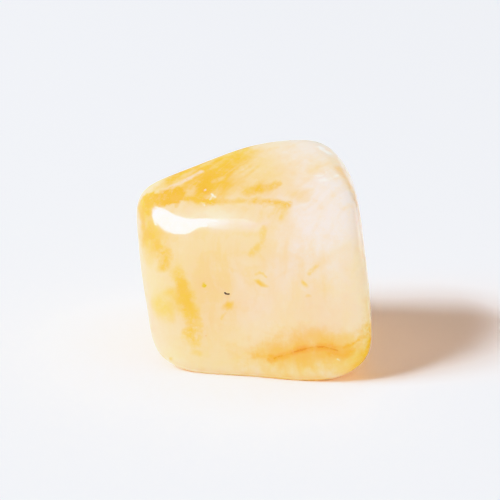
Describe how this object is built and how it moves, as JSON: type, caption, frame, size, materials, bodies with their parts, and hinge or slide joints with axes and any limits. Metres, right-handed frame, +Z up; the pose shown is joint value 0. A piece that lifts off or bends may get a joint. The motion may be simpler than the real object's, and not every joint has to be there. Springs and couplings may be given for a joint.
{
  "type": "tumbled yellow jade stone",
  "caption": "Polished, tumbled piece of translucent yellow and cream jade with a sloping top, resting on a flat underside.",
  "frame": {"origin": "on the resting face, under the middle of the stone's bounding box", "axes": "+Z up, +X along the stone's length toward its tall end, -Y out of the broad front face"},
  "size_m": [0.0242, 0.0176, 0.0203],
  "materials": {
    "jade": "polished and waxy, slightly frosted in places, milky and light-carrying, cream with yellow veils"
  },
  "bodies": {
    "root": {"stone": "jade"}
  },
  "joints": []
}
